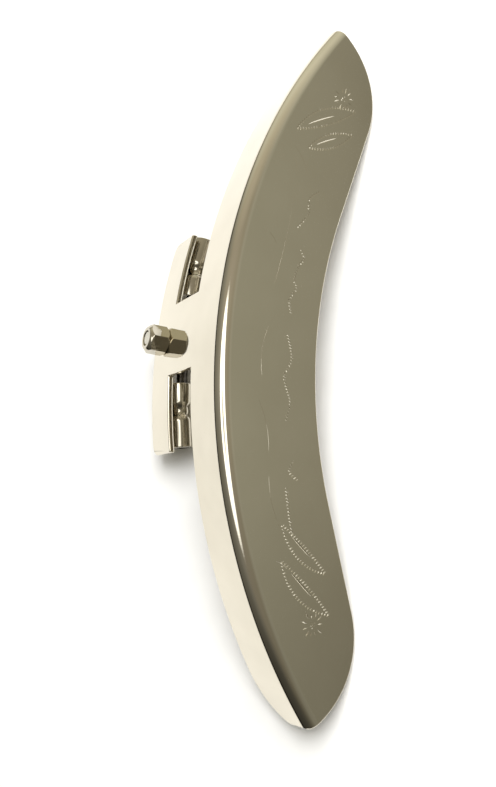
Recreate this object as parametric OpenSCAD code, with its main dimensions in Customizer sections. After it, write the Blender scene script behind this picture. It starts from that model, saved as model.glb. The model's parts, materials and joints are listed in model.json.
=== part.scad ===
// Banjo armrest: a crescent plate with a rolled edge and a T-shaped tab, and a bar that clamps two bracket hooks.
// Working frame: origin at the centre of the outer arc, X outward, Y along the crescent, Z out of the face.
// Every part is then tipped into the resting pose: the two lobes and the outer end of one sleeve stand on Z = 0.

/* [Crescent] */
// Radius of the outer wall, sized for an 11 inch rim with its hooks
outer_r = 155; // [150:1:165]
// Half of the angle between the two tips
tip_angle = 35.6; // [35:0.1:37]
// Radius at the two pointed tips
tip_r = 1.5; // [0.8:0.1:2.5]
// Width of the face in the middle
face_w = 26.5; // [24:0.5:28]
// Radius of the round lobe behind each tip
lobe_r = 24.5; // [23:0.5:26]
// How far each lobe reaches in from the crown of the outer wall
lobe_reach = 40.6; // [40:0.1:42]
// Thickness of the formed sheet
sheet_t = 1.6; // [1.2:0.1:2]
// Outside radius of the rolled edge
edge_r = 3.2; // [2.6:0.1:4]
// Depth of the wall behind the face
wall_h = 17.4; // [15:0.1:18.5]
// Radius that rounds the wall away towards each tip
wall_end_r = 12.5; // [8:0.5:14]

/* [Tab] */
// Depth of the whole tab behind the face
tab_h = 44; // [42:0.5:46]
// Width of the strip across the end of the tab
strip_w = 11.7; // [10.5:0.1:12]
// Length of that strip
strip_l = 60.6; // [56:0.2:64]
// Radius of the strip's two free corners
strip_corner_r = 2.5; // [1:0.1:4]
// Width of the neck that carries the strip
neck_w = 20; // [18:0.2:22]
// Offset of the tab from the middle of the crescent
tab_shift = -6.1; // [-7:0.1:0]

/* [Clamp] */
// Offset of the clamp bar from the middle of the crescent; the stud is in the middle of the tab
bar_shift = -7.3; // [-8:0.1:-6]
// Depth of the stud and the clamp bar behind the face
clamp_depth = 36.5; // [35:0.1:38]
// Diameter of the clamp bar
bar_d = 3.2; // [2.6:0.1:3.4]
// Outside diameter of each sleeve
sleeve_d = 7.94; // [7:0.02:9]
// Length of each sleeve
sleeve_l = 17.2; // [16:0.2:18]
// Distance between the two hooks that the clamp grips
hook_pitch = 40.6; // [40:0.1:42]
// Diameter of the bracket hook that the grooves fit
hook_d = 4.2; // [3.4:0.1:5]
// Depth of the hook groove round each sleeve
groove_h = 0.9; // [0.6:0.1:1.4]
// Radius of the groove's rounded lips
groove_lip_r = 2.5; // [1:0.1:3]
// How far the groove lies from its sleeve's middle, towards the neck
groove_offset = 1.1; // [0:0.1:2]

/* [Stud and nut] */
// Thread diameter of the stud, number 8
thread_d = 4.166; // [3.9:0.001:4.8]
// How far the stud runs on past the bar
stud_tail = 2.8; // [2.2:0.1:4]
// Nut size across flats
nut_af = 7.14; // [6:0.01:8]
// Nut length
nut_l = 5.6; // [5:0.1:6]
// Height of the cone on the nut's outer end
nut_cone_h = 1.1; // [0.4:0.1:1.4]
// Turn of the nut from having a corner towards the face
nut_turned = 3.5; // [-30:0.5:30]

/* [Hidden] */
$fn = 96;
running_gap = 0.05;      // between surfaces that move past each other
seat_gap = 0.03;         // between the nut and the neck it bears on
hole_gap = 0.15;         // round the stud where it passes the neck
tip_inset = 0.2;         // the stud's end lies this far inside the nut's end
bar_recess = 1;          // the bar stops this far inside each sleeve
nut_base_inset = 0.1;    // flats to the round bearing face at the nut's base
nut_end_inset = 0.6;     // flats to the round land that ends the nut's cone
stud_chamfer = 0.4;      // at both ends of the stud
lip_rise = 0.1;          // the lips of the hook groove reach this far above the sleeve, to meet it at an angle
mouth = 1;               // how far cutting shapes reach past a surface
inner_r = outer_r - sheet_t;
face_in_r = outer_r - face_w;
notch_end = tab_h - strip_w;
clamp_z = -clamp_depth;
bar_r = inner_r - running_gap - sleeve_d / 2;
stud_angle = asin(tab_shift / outer_r);
bar_angle = asin(bar_shift / outer_r);
hook_angle = arc_angle(hook_pitch / 2, outer_r);
offset_angle = arc_angle(groove_offset, bar_r);
sleeve_angle = hook_angle + offset_angle;
sleeve_half_angle = arc_angle(sleeve_l / 2, bar_r);
bar_half_angle = sleeve_angle + sleeve_half_angle - arc_angle(bar_recess, bar_r);
nut_base_r = outer_r + seat_gap;
nut_base_face_r = nut_af / 2 - nut_base_inset;
nut_end_r = nut_af / 2 - nut_end_inset;
nut_corner_r = nut_af / 2 / cos(30);

// The angle at the centre that an arc of this length spans.
function arc_angle(len, r) = len / r * 180 / PI;

// Lobe circle: it reaches in by lobe_reach and runs through the tip.
tip_x = outer_r * cos(tip_angle);
tip_y = outer_r * sin(tip_angle);
lobe_x = outer_r - lobe_reach + lobe_r;
lobe_y = tip_y - sqrt(pow(lobe_r, 2) - pow(tip_x - lobe_x, 2));
lobe_dist = norm([lobe_x, lobe_y]);
lobe_dir = atan2(lobe_y, lobe_x);
// A straight line touches both the inner arc and the lobe, at this angle from the crown.
join_angle = lobe_dir - acos((face_in_r + lobe_r) / lobe_dist);

// Small circle that rounds the tip: it touches the outer arc and the lobe from inside.
tip_from_axis = outer_r - tip_r;
tip_from_lobe = lobe_r - tip_r;
tip_along = (pow(tip_from_axis, 2) - pow(tip_from_lobe, 2) + pow(lobe_dist, 2)) / (2 * lobe_dist);
tip_dir = lobe_dir + acos(tip_along / tip_from_axis);
tip_c = tip_from_axis * [cos(tip_dir), sin(tip_dir)];
lobe_to_tip = (tip_c - [lobe_x, lobe_y]) / tip_from_lobe;

// Resting pose: the part is tipped until the lobes' lower edges and the end of the high sleeve are level.
lobe_edge_x = outer_r - lobe_reach;
foot_angle = bar_angle - sleeve_angle - sleeve_half_angle;
foot_x = bar_r * cos(foot_angle) - lobe_edge_x;
foot_z = clamp_depth - sheet_t;
foot_dist = norm([foot_x, foot_z]);
foot_dir = atan2(foot_z, foot_x);
first_tilt = foot_dir + asin(sleeve_d / 2 / foot_dist);
tilt = foot_dir + asin(end_circle_drop(first_tilt) / foot_dist);
floor_z = rest_height(lobe_edge_x, -sheet_t);
back_y = lobe_edge_x * cos(tilt);
strip_front_y = outer_r * cos(tilt) + tab_h * sin(tilt);
nut_front_y = (nut_base_r + nut_l - nut_cone_h) * cos(tilt) + (clamp_depth + nut_corner_r) * sin(tilt);
front_y = max(strip_front_y, nut_front_y);

// How far the sleeve's end circle reaches below its own middle at this tilt.
function end_circle_drop(a) = sleeve_d / 2 * sqrt(pow(cos(foot_angle) * sin(a), 2) + pow(cos(a), 2));

// Height of the point (x, z) of the working frame once the part is tipped.
function rest_height(x, z) = x * sin(tilt) + z * cos(tilt);

// Tips a part into the resting pose: X along the crescent, Z up, origin under the middle of the whole part.
module rest_pose() {
    translate([0, -(back_y + front_y) / 2, -floor_z])
        rotate([0, 0, 90])
            rotate([0, -tilt, 0])
                children();
}

// Puts a shape drawn along Z onto the stud's axis, Z pointing outward.
module on_stud_axis(r) {
    rotate([0, 0, stud_angle])
        translate([r, 0, clamp_z])
            rotate([0, 90, 0])
                children();
}

// A sector of a ring round the working axis, from the 2D profile given as children.
module sector(middle, half) {
    rotate([0, 0, middle - half])
        rotate_extrude(angle = 2 * half)
            children();
}

// Cross-section of the formed sheet: face, rolled edge and wall.
module sheet_profile() {
    edge_c = [outer_r - edge_r, -edge_r];
    translate([face_in_r - mouth, -sheet_t])
        square([edge_c.x - face_in_r + mouth, sheet_t]);
    translate([inner_r, -tab_h - mouth])
        square([sheet_t, tab_h + mouth - edge_r]);
    intersection() {
        translate(edge_c)
            difference() {
                circle(edge_r);
                circle(edge_r - sheet_t);
            }
        translate(edge_c)
            square(edge_r);
    }
}

// One half of the crescent's face outline. It runs past the outer arc, where the sheet ends by itself.
module half_outline() {
    join_dir = [cos(join_angle), sin(join_angle)];
    lobe_c = [lobe_x, lobe_y];
    on_arc = tip_c + tip_r * tip_c / tip_from_axis;
    on_lobe = tip_c + tip_r * lobe_to_tip;
    far = 2 * outer_r;
    reach = 2 * lobe_r;
    difference() {
        polygon([[0, 0], [far, 0], far * join_dir]);
        circle(face_in_r);
    }
    polygon([face_in_r * join_dir, far * join_dir, lobe_c, lobe_c - lobe_r * join_dir]);
    difference() {
        translate(lobe_c)
            circle(lobe_r);
        polygon([
            on_arc,
            on_arc + reach * tip_c / tip_from_axis,
            tip_c + 2 * reach * (tip_c / tip_from_axis + lobe_to_tip),
            on_lobe + reach * lobe_to_tip,
            on_lobe
        ]);
    }
    translate(tip_c)
        circle(tip_r);
}

// Side view of wall, neck and strip, drawn with X along the crescent and Y out of the face.
module side_outline() {
    wall_end = tip_y - wall_end_r;
    translate([-tip_y, wall_end_r - wall_h])
        square([2 * tip_y, wall_h - wall_end_r + mouth]);
    translate([-wall_end, -wall_h])
        square([2 * wall_end, wall_h]);
    for (side = [-1, 1])
        translate([side * wall_end, wall_end_r - wall_h])
            circle(wall_end_r);
    translate([tab_shift - neck_w / 2, -notch_end - mouth])
        square([neck_w, notch_end - wall_h + 2 * mouth]);
    translate([tab_shift, -tab_h]) {
        translate([-strip_l / 2, strip_corner_r])
            square([strip_l, strip_w - strip_corner_r]);
        translate([strip_corner_r - strip_l / 2, 0])
            square([strip_l - 2 * strip_corner_r, strip_w]);
        for (side = [-1, 1])
            translate([side * (strip_l / 2 - strip_corner_r), strip_corner_r])
                circle(strip_corner_r);
    }
}

module armrest_shell() {
    color("Silver")
        rest_pose()
            difference() {
                intersection() {
                    sector(0, tip_angle + 1)
                        sheet_profile();
                    translate([0, 0, -tab_h - mouth])
                        linear_extrude(tab_h + 2 * mouth) {
                            half_outline();
                            mirror([0, 1])
                                half_outline();
                        }
                    rotate([90, 0, 90])
                        linear_extrude(outer_r + mouth)
                            side_outline();
                }
                on_stud_axis(inner_r - mouth)
                    cylinder(h = sheet_t + 2 * mouth, r = thread_d / 2 + hole_gap);
            }
}

// Hexagon nut with a cone on its outer end and a chamfer at its base.
module nut() {
    clear = 0.2;         // the turning profile passes this far outside the corners
    cone_slope = nut_cone_h / (nut_corner_r - nut_end_r);
    base_clear_r = nut_corner_r + clear;
    color("Gainsboro")
        rest_pose()
            on_stud_axis(nut_base_r)
                difference() {
                    intersection() {
                        rotate([0, 0, nut_turned])
                            cylinder(h = nut_l, r = nut_corner_r, $fn = 6);
                        rotate_extrude()
                            polygon([
                                [0, 0],
                                [nut_base_face_r, 0],
                                [base_clear_r, base_clear_r - nut_base_face_r],
                                [base_clear_r, nut_l - nut_cone_h - clear * cone_slope],
                                [nut_end_r, nut_l],
                                [0, nut_l]
                            ]);
                    }
                    translate([0, 0, -mouth])
                        cylinder(h = nut_l + 2 * mouth, r = thread_d / 2 + running_gap);
                }
}

module bar_shape() {
    translate([0, 0, clamp_z])
        sector(bar_angle, bar_half_angle)
            translate([bar_r, 0])
                circle(bar_d / 2);
}

// Threaded stud, drawn at its outside diameter. The bar is brazed into the cross hole near its inner end.
module stud() {
    tail_r = bar_r - stud_tail;
    tip_end_r = nut_base_r + nut_l - tip_inset;
    color("DarkGray")
        rest_pose()
            difference() {
                on_stud_axis(tail_r)
                    rotate_extrude()
                        polygon([
                            [0, 0],
                            [thread_d / 2 - stud_chamfer, 0],
                            [thread_d / 2, stud_chamfer],
                            [thread_d / 2, tip_end_r - tail_r - stud_chamfer],
                            [thread_d / 2 - stud_chamfer, tip_end_r - tail_r],
                            [0, tip_end_r - tail_r]
                        ]);
                bar_shape();
            }
}

module clamp_bar() {
    color("Silver")
        rest_pose()
            bar_shape();
}

// Cutting profile of the hook groove, X outward from the sleeve's axis and Y along it.
module groove_profile() {
    hook_r = hook_d / 2;
    hook_x = hook_r - groove_h;
    lip_x = lip_rise - groove_lip_r;
    lip_y = sqrt(pow(hook_r + groove_lip_r, 2) - pow(hook_x - lip_x, 2));
    translate([sleeve_d / 2, 0]) {
        translate([hook_x, 0])
            circle(hook_r);
        for (side = [-1, 1])
            difference() {
                polygon([[hook_x, 0], [lip_x, side * lip_y], [hook_x, side * lip_y]]);
                translate([lip_x, side * lip_y])
                    circle(groove_lip_r);
            }
    }
}

// A sleeve on the clamp bar, on the side given as -1 or 1, with the hook groove turned round it.
module sleeve(side) {
    color("Silver")
        rest_pose()
            translate([0, 0, clamp_z])
                difference() {
                    sector(bar_angle + side * sleeve_angle, sleeve_half_angle)
                        translate([bar_r, 0])
                            difference() {
                                circle(sleeve_d / 2);
                                circle(bar_d / 2);
                            }
                    rotate([0, 0, bar_angle + side * hook_angle])
                        translate([bar_r, 0])
                            rotate([90, 0, 0])
                                rotate_extrude()
                                    groove_profile();
                }
}

module sleeve_low() {
    sleeve(1);
}

module sleeve_high() {
    sleeve(-1);
}

armrest_shell();
nut();
stud();
clamp_bar();
sleeve_low();
sleeve_high();
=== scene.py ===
import json
import math
import random

import bpy
from mathutils import Matrix, Vector


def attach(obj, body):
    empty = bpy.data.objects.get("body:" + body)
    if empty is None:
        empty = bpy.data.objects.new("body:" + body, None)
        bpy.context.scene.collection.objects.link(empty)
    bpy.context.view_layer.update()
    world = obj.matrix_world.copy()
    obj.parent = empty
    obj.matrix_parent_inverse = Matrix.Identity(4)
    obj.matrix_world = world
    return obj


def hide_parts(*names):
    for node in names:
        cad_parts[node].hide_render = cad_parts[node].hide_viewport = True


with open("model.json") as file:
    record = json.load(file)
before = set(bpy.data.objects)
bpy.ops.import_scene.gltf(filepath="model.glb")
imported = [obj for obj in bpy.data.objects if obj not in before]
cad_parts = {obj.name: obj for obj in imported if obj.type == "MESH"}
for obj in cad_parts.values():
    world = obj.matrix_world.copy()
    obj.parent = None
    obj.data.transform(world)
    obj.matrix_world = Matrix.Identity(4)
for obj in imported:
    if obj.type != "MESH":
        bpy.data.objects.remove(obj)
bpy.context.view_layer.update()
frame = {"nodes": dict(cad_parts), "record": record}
random.seed(7)

# Working frame, in millimetres: origin at the centre of the outer wall's arc, X outward, Y along the
# crescent, Z out of the face. Every mesh is built here and then put into the resting pose by REST.
MM = 0.001
OUTER_R = 155.0          # outer face of the wall
SHEET_T = 1.6            # thickness of the formed sheet
INNER_R = OUTER_R - SHEET_T
EDGE_R = 3.2             # outside radius of the rolled edge
FACE_W = 26.5            # width of the face in the middle
LOBE_R = 24.5            # round lobe behind each tip
LOBE_REACH = 40.6        # from the crown of the wall to a lobe's inner edge
TIP_ANGLE = math.radians(35.6)
TIP_R = 1.5
WALL_H = 17.4            # depth of the wall behind the face
WALL_END_R = 12.5
TAB_H = 44.0             # depth of the whole tab behind the face
STRIP_W = 11.7
STRIP_L = 60.6
STRIP_CORNER_R = 2.5
NECK_W = 20.0
EDGE_ROUND = 0.45        # the sheet's cut edges are rounded this much
TAB_SHIFT = -6.1         # the tab and its stud sit this far off the crescent's middle
BAR_SHIFT = -7.3         # and the clamp bar this far
CLAMP_Z = -36.5
SLEEVE_R = 3.97
SLEEVE_L = 17.2
HOOK_PITCH = 40.6        # between the two grooves, measured on the wall
GROOVE_OFFSET = 1.1      # from a sleeve's middle to its groove, towards the neck
RUNNING_GAP = 0.05
BAR_R = INNER_R - RUNNING_GAP - SLEEVE_R    # the bar is bent to this radius about the working axis
BAR_D = 3.2
HOOK_D = 4.2
GROOVE_H = 0.9           # depth of the hook groove round each sleeve
GROOVE_LIP_R = 2.5
THREAD_D = 4.166
THREAD_PITCH = 0.79375
THREAD_DEPTH = 0.61 * THREAD_PITCH
HOLE_GAP = 0.15          # round the stud where it passes the neck
SEAT_GAP = 0.03          # between the nut and the neck
NUT_L = 5.6
TIP_INSET = 0.2          # the stud's end lies this far inside the nut's end
STUD_TAIL = 2.8          # the stud runs on this far past the bar
STUD_END = OUTER_R + SEAT_GAP + NUT_L - TIP_INSET
STUD_ANGLE = math.asin(TAB_SHIFT / OUTER_R)
BAR_ANGLE = math.asin(BAR_SHIFT / OUTER_R)
OVERSHOOT = 2.0          # how far a cutting shape reaches past the surface it cuts

# Engraved motifs. A place on the face is given in millimetres, as the distance along the crescent and the
# distance in from the outer wall.
ENGRAVED_R = 140.0       # radius at which the first of these is true to size
BLOOMS = [(-72.0, 13.0), (67.0, 12.5)]
# each leaf: base, tip, and how far its two sides belly out
LEAVES = [
    ((-56.0, 6.0), (-71.5, 17.5), (2.6, -1.6)),
    ((-53.5, 11.0), (-65.0, 20.0), (1.6, -2.0)),
    ((42.5, 12.5), (57.5, 20.5), (0.8, -2.4)),
    ((50.5, 10.0), (67.0, 17.5), (1.0, -2.8)),
]
# each vine: the places it runs through
VINES = [
    [(-44.5, 18.5), (-41.0, 16.5), (-37.0, 17.5), (-32.0, 15.5)],
    [(-27.0, 18.0), (-25.0, 19.5), (-22.5, 18.5), (-18.5, 18.0), (-16.5, 19.0), (-13.0, 17.5),
     (-9.0, 18.5)],
    [(-4.0, 18.0), (2.0, 19.5), (7.0, 17.5), (13.0, 19.0), (18.0, 17.5)],
    [(28.0, 18.5), (30.5, 17.0), (33.0, 19.0)],
    [(34.0, 15.5), (40.0, 15.0), (46.0, 14.5)],
]
# each stem: its two ends and how far it bows
STEMS = [
    ((-52.0, 7.0), (-46.0, 14.5), 0.8),
    ((-49.5, 8.5), (-44.5, 11.0), 0.4),
    ((-28.0, 8.5), (-25.5, 11.5), 0.3),
    ((-40.0, 12.0), (-14.0, 12.5), 1.2),
    ((-6.0, 13.0), (8.0, 11.5), -1.0),
    ((12.0, 10.0), (26.0, 12.0), 1.2),
    ((30.0, 11.5), (44.0, 12.0), -0.8),
    ((50.0, 8.5), (53.0, 11.0), 0.4),
]
TICK_STEP = 0.8          # from one tick of an outline to the next
TICK_L = 1.15
CUT_W = 0.34
CUT_DEPTH = 0.10
FINE_SHARE = 0.3         # width of a stem's cut, as a share of CUT_W

hoop_seat = next(m for m in frame["record"]["mounts"] if m["name"] == "hoop_seat")
SEAT_POINT = Vector((148.0, 0.0, -SHEET_T))    # the same mount in the working frame
TILT = math.atan2(hoop_seat["axis"][1], -hoop_seat["axis"][2])
REST = (
    Matrix.Translation(hoop_seat["pos_m"])
    @ Matrix.Rotation(math.pi / 2, 4, "Z")
    @ Matrix.Rotation(-TILT, 4, "Y")
    @ Matrix.Scale(MM, 4)
    @ Matrix.Translation(-SEAT_POINT)
)


# ---- Camera, light and floor ----

# The camera is given in the working frame and goes through REST with the part.
CAMERA_AT = Vector((249.5, 55.8, 211.07))
CAMERA_FORWARD = Vector((-0.42986, -0.18244, -0.88427))
CAMERA_UP = Vector((0.12981, -0.98169, 0.13944))
SENSOR_H = 36.0
LENS = 45.74

# The room's colour by the height of a direction, behind the concave edge and ahead of the tab.
CEILING = (3.2, 3.2, 3.1)
ZENITH = (0.7, 0.67, 0.58)
BEHIND = [
    (-0.09, (0.22, 0.20, 0.16)),
    (0.03, (0.25, 0.235, 0.18)),
    (0.09, (0.31, 0.295, 0.23)),
    (0.19, (0.36, 0.35, 0.275)),
    (0.42, (0.40, 0.385, 0.31)),
    (0.68, (0.36, 0.33, 0.25)),
    (0.92, (0.42, 0.38, 0.30)),
    (0.955, CEILING),
    (0.985, CEILING),
    (1.0, ZENITH),
]
AHEAD = [
    (-0.02, (0.10, 0.10, 0.10)),
    (0.03, (0.012, 0.011, 0.010)),
    (0.12, (0.015, 0.013, 0.011)),
    (0.22, (0.20, 0.19, 0.155)),
    (0.70, (0.30, 0.285, 0.235)),
    (0.92, (0.42, 0.40, 0.34)),
    (0.955, CEILING),
    (0.985, CEILING),
    (1.0, ZENITH),
]
# How bright the room is from one side to the other, by the X of a direction.
SIDES = [
    (-1.0, 0.16),
    (-0.72, 0.25),
    (-0.45, 0.55),
    (-0.30, 0.60),
    (-0.10, 0.74),
    (0.10, 0.95),
    (0.30, 1.0),
    (0.50, 1.0),
    (0.90, 1.9),
]

# How pale the table is, by metres along the run below: painted shade that darkens the table's colour ahead
# of the part's lower end.
PAINTED_SHADE_RUN = (1.0, -0.8, 0.0)
TABLE = [(-0.9, 0.05), (-0.60, 0.35), (-0.42, 0.62), (-0.30, 0.80), (-0.19, 0.90)]
TABLE_HALF = 1.5         # metres from the middle of the table to its sides
# The lamp, in metres and watts: a soft panel above the concave edge, towards the upper end.
PANEL_AT = (0.36, -0.28, 0.7)
PANEL_SIZE = 0.7
PANEL_POWER = 8.6


def make_camera():
    """Looks down on the part from behind its concave edge, with the crescent upright in the picture."""
    data = bpy.data.cameras.new("camera")
    data.sensor_fit = "VERTICAL"
    data.sensor_height = SENSOR_H
    data.lens = LENS
    data.clip_start = 0.005
    camera = bpy.data.objects.new("camera", data)
    tipped = REST.to_quaternion()
    back = tipped @ -CAMERA_FORWARD.normalized()
    right = (tipped @ CAMERA_UP).cross(back).normalized()
    up = back.cross(right)
    axes = Matrix((right, up, back)).transposed()
    camera.matrix_world = Matrix.Translation(REST @ CAMERA_AT) @ axes.to_4x4()
    bpy.context.scene.collection.objects.link(camera)
    bpy.context.scene.camera = camera


def link_nodes(tree, *pairs):
    for source, target in pairs:
        tree.links.new(source, target)


def add_bands(tree, low, high, bands):
    """A colour ramp over low to high, from (place, colour) rows."""
    level = tree.nodes.new("ShaderNodeMapRange")
    level.inputs["From Min"].default_value = low
    level.inputs["From Max"].default_value = high
    ramp = tree.nodes.new("ShaderNodeValToRGB")
    elements = ramp.color_ramp.elements
    elements.remove(elements[0])
    for i, (place, colour) in enumerate(bands):
        share = (place - low) / (high - low)
        element = elements[0] if i == 0 else elements.new(share)
        element.position = share
        element.color = (*colour, 1)
    link_nodes(tree, (level.outputs["Result"], ramp.inputs["Fac"]))
    return level.inputs["Value"], ramp.outputs["Color"]


def make_studio():
    """The room as polished metal sees it: a white ceiling, olive behind the concave edge, dark ahead."""
    world = bpy.data.worlds.new("studio")
    bpy.context.scene.world = world
    world.use_nodes = True
    tree = world.node_tree
    tree.nodes.clear()
    direction = tree.nodes.new("ShaderNodeTexCoord")
    split = tree.nodes.new("ShaderNodeSeparateXYZ")
    ahead = tree.nodes.new("ShaderNodeVectorMath")
    ahead.operation = "DOT_PRODUCT"
    ahead.inputs[1].default_value = (-0.6, 1.0, 0.0)
    ahead_share = tree.nodes.new("ShaderNodeMapRange")
    ahead_share.interpolation_type = "SMOOTHSTEP"
    ahead_share.inputs["From Max"].default_value = 0.6
    depth = tree.nodes.new("ShaderNodeMix")
    depth.data_type = "RGBA"
    sides = tree.nodes.new("ShaderNodeMix")
    sides.data_type = "RGBA"
    sides.blend_type = "MULTIPLY"
    sides.inputs["Factor"].default_value = 1.0
    room = tree.nodes.new("ShaderNodeBackground")
    backdrop = tree.nodes.new("ShaderNodeBackground")
    seen = tree.nodes.new("ShaderNodeLightPath")
    mix = tree.nodes.new("ShaderNodeMixShader")
    out = tree.nodes.new("ShaderNodeOutputWorld")
    # heights are the Z of a unit direction
    behind_in, behind = add_bands(tree, -1, 1, BEHIND)
    front_in, front = add_bands(tree, -1, 1, AHEAD)
    side_in, side = add_bands(tree, -1, 1, [(x, (level,) * 3) for x, level in SIDES])
    backdrop.inputs["Color"].default_value = (1, 1, 1, 1)
    link_nodes(
        tree,
        (direction.outputs["Generated"], split.inputs[0]),
        (direction.outputs["Generated"], ahead.inputs[0]),
        (split.outputs["Z"], behind_in),
        (split.outputs["Z"], front_in),
        (split.outputs["X"], side_in),
        (ahead.outputs["Value"], ahead_share.inputs["Value"]),
        (ahead_share.outputs["Result"], depth.inputs["Factor"]),
        (behind, depth.inputs[6]),
        (front, depth.inputs[7]),
        (depth.outputs[2], sides.inputs[6]),
        (side, sides.inputs[7]),
        (sides.outputs[2], room.inputs["Color"]),
        (seen.outputs["Is Camera Ray"], mix.inputs["Fac"]),
        (room.outputs[0], mix.inputs[1]),
        (backdrop.outputs[0], mix.inputs[2]),
        (mix.outputs[0], out.inputs["Surface"]),
    )
    bpy.context.scene.view_settings.view_transform = "Standard"


def make_light(name, place, size, power):
    """A soft overhead panel that lights the table and isn't mirrored in the metal."""
    data = bpy.data.lights.new(name, "AREA")
    data.shape = "DISK"
    data.size = size
    data.energy = power
    light = bpy.data.objects.new(name, data)
    light.location = place
    light.visible_glossy = False
    light.rotation_euler = Vector(place).to_track_quat("Z", "Y").to_euler()
    bpy.context.scene.collection.objects.link(light)


def make_floor():
    """A pale table under the part, its colour darkened ahead of the part's lower end by painted shade."""
    half = TABLE_HALF
    verts = [(-half, -half, 0), (half, -half, 0), (half, half, 0), (-half, half, 0)]
    mesh = bpy.data.meshes.new("table")
    mesh.from_pydata(verts, [], [(0, 1, 2, 3)])
    floor = bpy.data.objects.new("table", mesh)
    bpy.context.scene.collection.objects.link(floor)
    material, tree, shader = new_material("table_painted_shade")
    shader.inputs["Roughness"].default_value = 0.8
    noise = add_noise(tree, 60, 3)
    tint = add_colour_ramp(tree, (0.96, 0.96, 0.96), (1.0, 1.0, 1.0))
    place = tree.nodes.new("ShaderNodeTexCoord")
    along = tree.nodes.new("ShaderNodeVectorMath")
    along.operation = "DOT_PRODUCT"
    along.inputs[1].default_value = PAINTED_SHADE_RUN
    # painted shade: the table's colour darkens along the run, ahead of the part's lower end
    shade_in, shade = add_bands(tree, -1, 1, [(run, (level,) * 3) for run, level in TABLE])
    mix = tree.nodes.new("ShaderNodeMix")
    mix.data_type = "RGBA"
    mix.blend_type = "MULTIPLY"
    mix.inputs["Factor"].default_value = 1.0
    link_nodes(
        tree,
        (place.outputs["Object"], along.inputs[0]),
        (along.outputs["Value"], shade_in),
        (noise.outputs["Fac"], tint.inputs["Fac"]),
        (shade, mix.inputs[6]),
        (tint.outputs[0], mix.inputs[7]),
        (mix.outputs[2], shader.inputs["Base Color"]),
    )
    mesh.materials.append(material)


# ---- Materials ----

def new_material(name):
    material = bpy.data.materials.new(name)
    material.use_nodes = True
    tree = material.node_tree
    return material, tree, tree.nodes["Principled BSDF"]


def add_noise(tree, scale, detail, stretch=(1, 1, 1)):
    """Noise in the object's coordinates, scale in waves per metre. Stretch draws it out into a grain."""
    place = tree.nodes.new("ShaderNodeTexCoord")
    mapping = tree.nodes.new("ShaderNodeMapping")
    mapping.inputs["Scale"].default_value = stretch
    noise = tree.nodes.new("ShaderNodeTexNoise")
    noise.inputs["Scale"].default_value = scale
    noise.inputs["Detail"].default_value = detail
    link_nodes(
        tree,
        (place.outputs["Object"], mapping.inputs[0]),
        (mapping.outputs[0], noise.inputs["Vector"]),
    )
    return noise


def add_colour_ramp(tree, low, high, start=0.35, end=0.65):
    ramp = tree.nodes.new("ShaderNodeValToRGB")
    ramp.color_ramp.elements[0].position = start
    ramp.color_ramp.elements[0].color = (*low, 1)
    ramp.color_ramp.elements[1].position = end
    ramp.color_ramp.elements[1].color = (*high, 1)
    return ramp


def add_range(tree, low, high):
    spread = tree.nodes.new("ShaderNodeMapRange")
    spread.inputs["To Min"].default_value = low
    spread.inputs["To Max"].default_value = high
    return spread


def metal(name, low, high, rough, grain=(1, 1, 1), scratch=0.02):
    """Metal whose colour wanders with handling and its polish with fine rubbing marks along the grain."""
    material, tree, shader = new_material(name)
    shader.inputs["Metallic"].default_value = 1.0
    cloud = add_noise(tree, 45, 4)
    tint = add_colour_ramp(tree, low, high)
    rub = add_noise(tree, 900, 6, grain)
    polish = add_range(tree, *rough)
    bump = tree.nodes.new("ShaderNodeBump")
    bump.inputs["Strength"].default_value = scratch
    bump.inputs["Distance"].default_value = 0.0002
    link_nodes(
        tree,
        (cloud.outputs["Fac"], tint.inputs["Fac"]),
        (tint.outputs[0], shader.inputs["Base Color"]),
        (rub.outputs["Fac"], polish.inputs["Value"]),
        (polish.outputs[0], shader.inputs["Roughness"]),
        (rub.outputs["Fac"], bump.inputs["Height"]),
        (bump.outputs[0], shader.inputs["Normal"]),
    )
    return material


# ---- Mesh helpers ----

def mesh_object(name, verts, faces):
    mesh = bpy.data.meshes.new(name)
    mesh.from_pydata(verts, [], faces)
    piece = bpy.data.objects.new(name, mesh)
    bpy.context.scene.collection.objects.link(piece)
    return piece


def apply_modifiers(piece):
    graph = bpy.context.evaluated_depsgraph_get()
    mesh = bpy.data.meshes.new_from_object(piece.evaluated_get(graph))
    piece.modifiers.clear()
    piece.data = mesh


def combine(piece, tool, operation):
    """Intersects or cuts piece with tool, and removes the tool."""
    modifier = piece.modifiers.new("combine", "BOOLEAN")
    modifier.operation = operation
    modifier.solver = "MANIFOLD"
    modifier.object = tool
    apply_modifiers(piece)
    bpy.data.objects.remove(tool)


def prism(name, outline, place):
    """A closed prism on a flat outline. place(u, v, end) gives a corner at end 0 or 1."""
    count = len(outline)
    verts = [place(u, v, end) for end in (0, 1) for u, v in outline]
    sides = [(i, (i + 1) % count, (i + 1) % count + count, i + count) for i in range(count)]
    caps = [tuple(reversed(range(count))), tuple(range(count, 2 * count))]
    piece = mesh_object(name, verts, sides + caps)
    face_outward(piece)
    return piece


def face_outward(piece):
    """Turns the faces of a closed mesh outward."""
    volume = 0.0
    mesh = piece.data
    for polygon in mesh.polygons:
        corners = [mesh.vertices[i].co for i in polygon.vertices]
        for i in range(1, len(corners) - 1):
            volume += corners[0].dot(corners[i].cross(corners[i + 1]))
    if volume < 0:
        mesh.flip_normals()


def arc(centre, radius, start, end, steps):
    """Points along an arc, both ends included. Angles in radians."""
    return [
        (centre[0] + radius * math.cos(a), centre[1] + radius * math.sin(a))
        for a in (start + (end - start) * i / steps for i in range(steps + 1))
    ]


# ---- The shell ----

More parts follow.
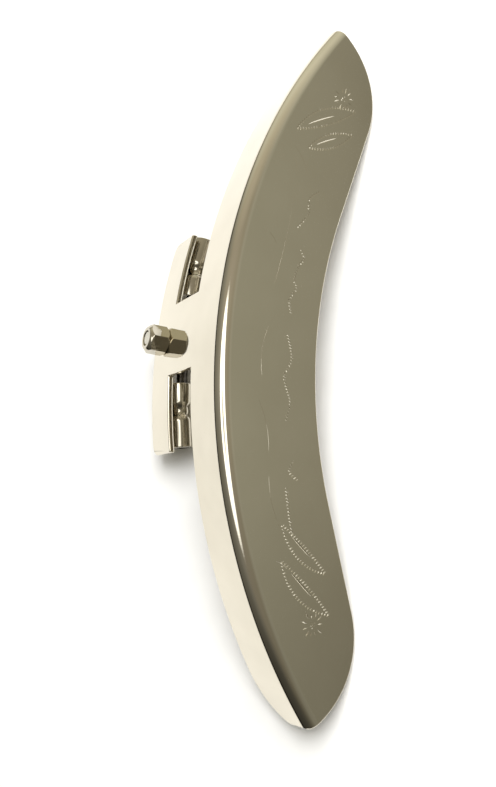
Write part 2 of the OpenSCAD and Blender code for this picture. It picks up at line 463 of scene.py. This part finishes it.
def crescent_outline():
    """The face's outline in X and Y. It runs past the outer wall, where the sheet ends by itself."""
    tip = (OUTER_R * math.cos(TIP_ANGLE), OUTER_R * math.sin(TIP_ANGLE))
    face_in_r = OUTER_R - FACE_W
    lobe_x = OUTER_R - LOBE_REACH + LOBE_R
    lobe_y = tip[1] - math.sqrt(LOBE_R**2 - (tip[0] - lobe_x) ** 2)
    lobe_dist = math.hypot(lobe_x, lobe_y)
    lobe_dir = math.atan2(lobe_y, lobe_x)
    join = lobe_dir - math.acos((face_in_r + LOBE_R) / lobe_dist)
    from_axis = OUTER_R - TIP_R
    from_lobe = LOBE_R - TIP_R
    along = (from_axis**2 - from_lobe**2 + lobe_dist**2) / (2 * lobe_dist)
    tip_dir = lobe_dir + math.acos(along / from_axis)
    tip_c = (from_axis * math.cos(tip_dir), from_axis * math.sin(tip_dir))
    lobe_end = math.atan2(tip_c[1] - lobe_y, tip_c[0] - lobe_x)
    free_r = OUTER_R + OVERSHOOT
    half = arc((0, 0), face_in_r, 0, join, 40)
    half += arc((lobe_x, lobe_y), LOBE_R, join + math.pi, lobe_end, 64)
    half += arc(tip_c, TIP_R, lobe_end, tip_dir, 8)[1:]
    half += arc((0, 0), free_r, tip_dir, 0, 40)
    return half[:-1] + [(x, -y) for x, y in reversed(half[1:])]


def side_outline():
    """Wall, neck and strip seen from outside, along Y and Z."""
    half_y = OUTER_R * math.sin(TIP_ANGLE)
    end_y = half_y - WALL_END_R
    end_z = WALL_END_R - WALL_H
    neck = (TAB_SHIFT - NECK_W / 2, TAB_SHIFT + NECK_W / 2)
    strip = (TAB_SHIFT - STRIP_L / 2, TAB_SHIFT + STRIP_L / 2)
    notch_z = STRIP_W - TAB_H
    corner_z = STRIP_CORNER_R - TAB_H
    left = arc((-end_y, end_z), WALL_END_R, -math.pi, -math.pi / 2, 24)
    right = arc((end_y, end_z), WALL_END_R, -math.pi / 2, 0, 24)
    corner_low = arc((strip[0] + STRIP_CORNER_R, corner_z), STRIP_CORNER_R, -math.pi, -math.pi / 2, 10)
    corner_high = arc((strip[1] - STRIP_CORNER_R, corner_z), STRIP_CORNER_R, -math.pi / 2, 0, 10)
    return [
        (half_y, OVERSHOOT),
        (-half_y, OVERSHOOT),
        *left,
        (neck[0], -WALL_H),
        (neck[0], notch_z),
        (strip[0], notch_z),
        *corner_low,
        *corner_high,
        (strip[1], notch_z),
        (neck[1], notch_z),
        (neck[1], -WALL_H),
        *right,
    ]


def sheet_profile():
    """Closed cross-section of the formed sheet, as radius and Z."""
    centre = (OUTER_R - EDGE_R, -EDGE_R)
    start_r = OUTER_R - LOBE_REACH - OVERSHOOT
    deep_z = -TAB_H - OVERSHOOT
    outside = arc(centre, EDGE_R, math.pi / 2, 0, 24)
    inside = arc(centre, EDGE_R - SHEET_T, 0, math.pi / 2, 24)
    return [(start_r, 0), *outside, (OUTER_R, deep_z), (INNER_R, deep_z), *inside, (start_r, -SHEET_T)]


def swept_sheet():
    """The sheet's cross-section turned about the working axis, past both tips."""
    profile = sheet_profile()
    count = len(profile)
    steps = 240
    reach = TIP_ANGLE + math.radians(1)
    angles = [-reach + 2 * reach * i / steps for i in range(steps + 1)]
    verts = [(r * math.cos(a), r * math.sin(a), z) for a in angles for r, z in profile]
    faces = [
        (k * count + i, k * count + (i + 1) % count, (k + 1) * count + (i + 1) % count, (k + 1) * count + i)
        for k in range(steps)
        for i in range(count)
    ]
    faces += [tuple(reversed(range(count))), tuple(range(steps * count, (steps + 1) * count))]
    piece = mesh_object("shell_nickel", verts, faces)
    face_outward(piece)
    return piece


def stud_hole():
    """A round tool on the stud's axis, through the neck."""
    radius = THREAD_D / 2 + HOLE_GAP
    turn = Matrix.Rotation(STUD_ANGLE, 4, "Z")
    outline = arc((0, CLAMP_Z), radius, 0, 2 * math.pi, 48)[:-1]
    ends = (INNER_R - OVERSHOOT, OUTER_R + OVERSHOOT)
    return prism("hole_tool", outline, lambda u, v, end: turn @ Vector((ends[end], u, v)))


def outward_normal(point):
    """Which way the outside of the rolled sheet faces at a point of it."""
    radial = Vector((point.x, point.y, 0)).normalized()
    right = math.hypot(point.x, point.y) - (OUTER_R - EDGE_R)
    up = point.z + EDGE_R
    if right <= 0:
        return Vector((0, 0, 1))
    if up <= 0:
        return radial
    return (radial * right + Vector((0, 0, up))).normalized()


def true_normal(point, flat):
    """The sheet's own normal at a point, or the flat one where the face isn't part of the rolled sheet."""
    normal = outward_normal(point)
    for candidate in (normal, -normal):
        if candidate.dot(flat) > math.cos(math.radians(12)):
            return candidate
    return flat


def shade_sheet(piece):
    """Gives each corner the true normal of the rolled sheet, and the inside faces the second material,
    whose dark colour is painted shade.
    """
    mesh = piece.data
    normals = []
    for polygon in mesh.polygons:
        polygon.use_smooth = True
        flat = polygon.normal.copy()
        normals += [true_normal(mesh.vertices[i].co, flat) for i in polygon.vertices]
        inside = outward_normal(polygon.center).dot(flat) < -0.9
        polygon.material_index = 1 if inside else 0
    mesh.normals_split_custom_set(normals)


def make_shell():
    """The sheet trimmed to its outlines, with the stud's hole and rounded cut edges."""
    piece = swept_sheet()
    depth = (-TAB_H - 2 * OVERSHOOT, OVERSHOOT)
    across = (OUTER_R - 2 * LOBE_REACH, OUTER_R + 2 * OVERSHOOT)
    face_tool = prism("face_tool", crescent_outline(), lambda u, v, end: Vector((u, v, depth[end])))
    combine(piece, face_tool, "INTERSECT")
    side_tool = prism("side_tool", side_outline(), lambda u, v, end: Vector((across[end], u, v)))
    combine(piece, side_tool, "INTERSECT")
    combine(piece, stud_hole(), "DIFFERENCE")
    # flat faces are joined first, so that the rounding doesn't slide along the seams between them
    flat = piece.modifiers.new("flat", "DECIMATE")
    flat.decimate_type = "DISSOLVE"
    flat.angle_limit = math.radians(0.05)
    weld = piece.modifiers.new("weld", "WELD")
    weld.merge_threshold = 0.12
    bevel = piece.modifiers.new("edges", "BEVEL")
    bevel.use_clamp_overlap = False
    bevel.width = EDGE_ROUND
    bevel.segments = 4
    bevel.limit_method = "ANGLE"
    bevel.angle_limit = math.radians(50)
    apply_modifiers(piece)
    return piece


# ---- Engraving ----

def bowed(start, end, bow, steps=12):
    """Places from start to end along a line that bows sideways, most in its middle."""
    run = (end[0] - start[0], end[1] - start[1])
    length = math.hypot(*run)
    side = (-run[1] / length, run[0] / length)
    places = []
    for i in range(steps + 1):
        t = i / steps
        push = 4 * bow * t * (1 - t)
        places.append((start[0] + t * run[0] + push * side[0], start[1] + t * run[1] + push * side[1]))
    return places


def catmull_rom(p, q, r, s, t):
    """The value at share t on a smooth curve from q to r, with p before it and s after it."""
    curve = (2 * p - 5 * q + 4 * r - s) * t**2
    twist = (3 * q - p - 3 * r + s) * t**3
    return 0.5 * (2 * q + (r - p) * t + curve + twist)


def flowing(places, steps=10):
    """A smooth line through the places."""
    ends = [places[0], *places, places[-1]]
    line = []
    for a, b, c, d in zip(ends, ends[1:], ends[2:], ends[3:]):
        for i in range(steps):
            t = i / steps
            line.append(tuple(catmull_rom(*corners, t) for corners in zip(a, b, c, d)))
    return [*line, places[-1]]


def stroke(place, heading, length):
    """The three places of a short straight cut."""
    run = (length * math.cos(heading), length * math.sin(heading))
    return [(place[0] + k * run[0], place[1] + k * run[1]) for k in (-0.5, 0, 0.5)]


def ticks_along(line):
    """Short cuts across a line, evenly spaced, as a wriggled graver leaves them."""
    cuts = []
    due = TICK_STEP / 2
    for start, end in zip(line, line[1:]):
        run = math.dist(start, end)
        heading = math.atan2(end[1] - start[1], end[0] - start[0])
        while due < run:
            place = (start[0] + due * math.cos(heading), start[1] + due * math.sin(heading))
            slant = heading + math.radians(random.uniform(62, 82))
            cuts.append(stroke(place, slant, TICK_L * random.uniform(0.8, 1.15)))
            due += TICK_STEP
        due -= run
    return cuts


def bloom(centre):
    """A flower head: long strokes around a stippled heart."""
    cuts = []
    petals = 11
    for i in range(petals):
        heading = 2 * math.pi * i / petals + random.uniform(-0.12, 0.12)
        length = random.uniform(1.4, 2.4)
        reach = 1.3 + length / 2
        place = (centre[0] + reach * math.cos(heading), centre[1] + reach * math.sin(heading))
        cuts.append(stroke(place, heading, length))
    for i in range(7):
        heading = 2.4 * i
        reach = 0.34 * math.sqrt(i)
        place = (centre[0] + reach * math.cos(heading), centre[1] + reach * math.sin(heading))
        cuts.append(stroke(place, random.uniform(0, math.pi), 0.4))
    return cuts


def leaf(base, tip, bellies):
    """Ticked outlines of a pointed leaf and a fine vein."""
    cuts = [bowed(base, tip, 0.15)[2:9]]
    for belly in bellies:
        cuts += ticks_along(bowed(base, tip, belly))
    return cuts


def groove(line, width):
    """Corners and faces of a V-shaped cut along a line on the face. Both its ends rise out of the metal."""
    lift = 0.03
    slope = 2 * CUT_DEPTH / CUT_W
    points = [
        ((OUTER_R - v) * math.cos(u / ENGRAVED_R), (OUTER_R - v) * math.sin(u / ENGRAVED_R))
        for u, v in line
    ]
    last = len(points) - 1
    verts = [(*points[0], lift)]
    for i in range(1, last):
        (x0, y0), (x1, y1) = points[i - 1], points[i + 1]
        run = math.dist(points[i - 1], points[i + 1])
        depth = 0.5 * width * slope * math.sin(math.pi * i / last) ** 0.6
        half = (depth + lift) / slope
        side = (half * (y0 - y1) / run, half * (x1 - x0) / run)
        x, y = points[i]
        verts += [(x + side[0], y + side[1], lift), (x, y, -depth), (x - side[0], y - side[1], lift)]
    verts.append((*points[-1], lift))
    end = len(verts) - 1
    faces = []
    for a, b in ((0, 1), (1, 2), (2, 0)):
        faces.append((0, 1 + a, 1 + b))
        faces.append((end, end - 3 + b, end - 3 + a))
        for i in range(1, last - 1):
            k = 3 * i - 2
            faces.append((k + a, k + 3 + a, k + 3 + b, k + b))
    return verts, faces


def footprint(verts, margin=0.05):
    xs = [v[0] for v in verts]
    ys = [v[1] for v in verts]
    return min(xs) - margin, min(ys) - margin, max(xs) + margin, max(ys) + margin


def clear_of(a, b):
    return a[2] < b[0] or b[2] < a[0] or a[3] < b[1] or b[3] < a[1]


def engrave(piece):
    """Cuts every motif into the face. Cuts that might touch one another are made one after the other."""
    fine = FINE_SHARE * CUT_W
    cuts = [groove(bowed(*stem), fine) for stem in STEMS]
    for vine in VINES:
        cuts += [groove(line, CUT_W) for line in ticks_along(flowing(vine))]
    for place in BLOOMS:
        cuts += [groove(line, CUT_W) for line in bloom(place)]
    for base, tip, bellies in LEAVES:
        cuts += [groove(line, CUT_W) for line in leaf(base, tip, bellies)]
    layers = []
    for verts, faces in cuts:
        box = footprint(verts)
        home = next((layer for layer in layers if all(clear_of(box, other[0]) for other in layer)), None)
        if home is None:
            home = []
            layers.append(home)
        home.append((box, verts, faces))
    for layer in layers:
        corners, sides = [], []
        for _, verts, faces in layer:
            start = len(corners)
            corners += verts
            sides += [tuple(start + i for i in face) for face in faces]
        tool = mesh_object("graver", corners, sides)
        face_outward(tool)
        combine(piece, tool, "DIFFERENCE")


# ---- Clamp ----

def smooth(piece, angle=35):
    """Smooth shading, with every edge sharper than the angle kept crisp."""
    piece.data.shade_smooth()
    piece.data.set_sharp_from_angle(angle=math.radians(angle))


def rings(name, count, steps, place, closed):
    """A tube of rings. place(i, share) gives a corner of ring i at that share of a turn."""
    verts = [place(i, j / steps) for i in range(count) for j in range(steps)]
    last = count if closed else count - 1
    faces = [
        (
            i * steps + j,
            i * steps + (j + 1) % steps,
            (i + 1) % count * steps + (j + 1) % steps,
            (i + 1) % count * steps + j,
        )
        for i in range(last)
        for j in range(steps)
    ]
    if not closed:
        faces += [tuple(reversed(range(steps))), tuple(range((count - 1) * steps, count * steps))]
    piece = mesh_object(name, verts, faces)
    face_outward(piece)
    return piece


def sleeve_profile():
    """Closed section of a sleeve: place along it from its hook groove, away from the neck, and radius."""
    near = GROOVE_OFFSET - SLEEVE_L / 2
    far = GROOVE_OFFSET + SLEEVE_L / 2
    edge = 0.3
    hook_r = HOOK_D / 2
    hook_x = SLEEVE_R + hook_r - GROOVE_H
    lip_x = SLEEVE_R - GROOVE_LIP_R
    lip_s = math.sqrt((hook_r + GROOVE_LIP_R) ** 2 - (hook_x - lip_x) ** 2)
    lean = math.atan2(hook_x - lip_x, lip_s)     # direction from a lip's centre to the hook's
    lip = arc((-lip_s, lip_x), GROOVE_LIP_R, math.pi / 2, lean, 10)
    floor = arc((0, hook_x), hook_r, math.pi + lean, 1.5 * math.pi, 10)
    groove_half = [*lip, *floor[1:]]
    near_corner = arc((near + edge, SLEEVE_R - edge), edge, math.pi, math.pi / 2, 6)
    far_corner = arc((far - edge, SLEEVE_R - edge), edge, math.pi / 2, 0, 6)
    return [
        (near, BAR_D / 2),
        *near_corner,
        *groove_half,
        *((-s, r) for s, r in reversed(groove_half[:-1])),
        *far_corner,
        (far, BAR_D / 2),
    ]


def make_sleeve(name, side):
    profile = sleeve_profile()
    hook_angle = BAR_ANGLE + side * HOOK_PITCH / 2 / OUTER_R

    def place(i, share):
        s, r = profile[i]
        angle = hook_angle + side * s / BAR_R
        turn = 2 * math.pi * share
        out = BAR_R + r * math.cos(turn)
        return out * math.cos(angle), out * math.sin(angle), CLAMP_Z + r * math.sin(turn)

    piece = rings(name, len(profile), 96, place, True)
    smooth(piece)
    return piece


def make_stud():
    """A rod with a true helical thread, cut off with a chamfer at both ends."""
    # (share of the pitch, radius): crest, flank, root and flank of the thread
    crest = THREAD_D / 2
    root = crest - THREAD_DEPTH
    form = [(0.0, crest), (0.125, crest), (0.5, root), (0.625, root)]
    start = BAR_R - STUD_TAIL
    chamfer = 0.4
    turns = math.ceil((STUD_END - start) / THREAD_PITCH) + 3
    turn = Matrix.Rotation(STUD_ANGLE, 4, "Z")

    def on_axis(along, radius, share):
        angle = 2 * math.pi * share
        return turn @ Vector((along, radius * math.cos(angle), CLAMP_Z + radius * math.sin(angle)))

    def thread(i, share):
        lead, radius = form[i % 4]
        return on_axis(start + THREAD_PITCH * (i // 4 + lead + share - 2), radius, share)

    blank = [
        (start, crest - chamfer), (start + chamfer, crest + 0.01),
        (STUD_END - chamfer, crest + 0.01), (STUD_END, crest - chamfer),
    ]
    rod = rings("threaded_stud", 4 * turns, 48, thread, False)
    ends = rings("end_tool", 4, 48, lambda i, share: on_axis(*blank[i], share), False)
    combine(rod, ends, "INTERSECT")
    smooth(rod, 25)
    return rod


def soften(node, width):
    """Crisp small bevels on the edges of a CAD node."""
    weld = node.modifiers.new("weld", "WELD")
    weld.merge_threshold = 0.01 * MM
    bevel = node.modifiers.new("bevel", "BEVEL")
    bevel.width = width * MM
    bevel.segments = 2
    bevel.limit_method = "ANGLE"
    bevel.angle_limit = math.radians(22)
    bevel.harden_normals = True


def settle(piece, body, material, *nodes):
    """Puts a finished piece into the resting pose, on its body and in place of its CAD nodes."""
    piece.data.transform(REST)
    piece.data.materials.clear()
    piece.data.materials.append(material)
    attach(piece, body)
    if nodes:
        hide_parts(*nodes)


make_camera()
make_studio()
make_light("ceiling_panel", PANEL_AT, PANEL_SIZE, PANEL_POWER)
make_floor()

sheet_nickel = metal("sheet_nickel", (0.74, 0.69, 0.58), (0.78, 0.73, 0.62), (0.03, 0.07), (1, 0.12, 1))
nut_nickel = metal("nut_nickel", (0.50, 0.465, 0.385), (0.57, 0.53, 0.44), (0.05, 0.10))
rod_nickel = metal("rod_nickel", (0.48, 0.44, 0.36), (0.56, 0.52, 0.43), (0.06, 0.14), (0.1, 1, 1))
# the inside of the sheet: its near-black colour is painted shade, and it is also rougher than the face
painted_shade_nickel = metal("painted_shade_nickel", (0.10, 0.09, 0.075), (0.16, 0.145, 0.12), (0.28, 0.42))
# the clamp bar: its near-black colour is painted shade, for the shadow it lies in between the neck and the
# sleeves
painted_shade_bar_steel = metal("painted_shade_bar_steel", (0.07, 0.065, 0.06), (0.12, 0.11, 0.10), (0.16, 0.30), (0.1, 1, 1))
stud_steel = metal("stud_steel", (0.56, 0.53, 0.46), (0.64, 0.61, 0.53), (0.18, 0.30))

shell = make_shell()
engrave(shell)
shade_sheet(shell)
settle(shell, "shell", sheet_nickel, "armrest_shell")
# the inside faces take the dark metal of painted shade
shell.data.materials.append(painted_shade_nickel)

settle(make_stud(), "clamp", stud_steel, "stud")
settle(make_sleeve("sleeve_low_nickel", 1), "clamp", rod_nickel, "sleeve_low")
settle(make_sleeve("sleeve_high_nickel", -1), "clamp", rod_nickel, "sleeve_high")

# the clamp bar takes the near-black metal of painted shade
for node, material in (("nut", nut_nickel), ("clamp_bar", painted_shade_bar_steel)):
    mesh = frame["nodes"][node].data
    mesh.materials.clear()
    mesh.materials.append(material)
soften(frame["nodes"]["nut"], 0.12)
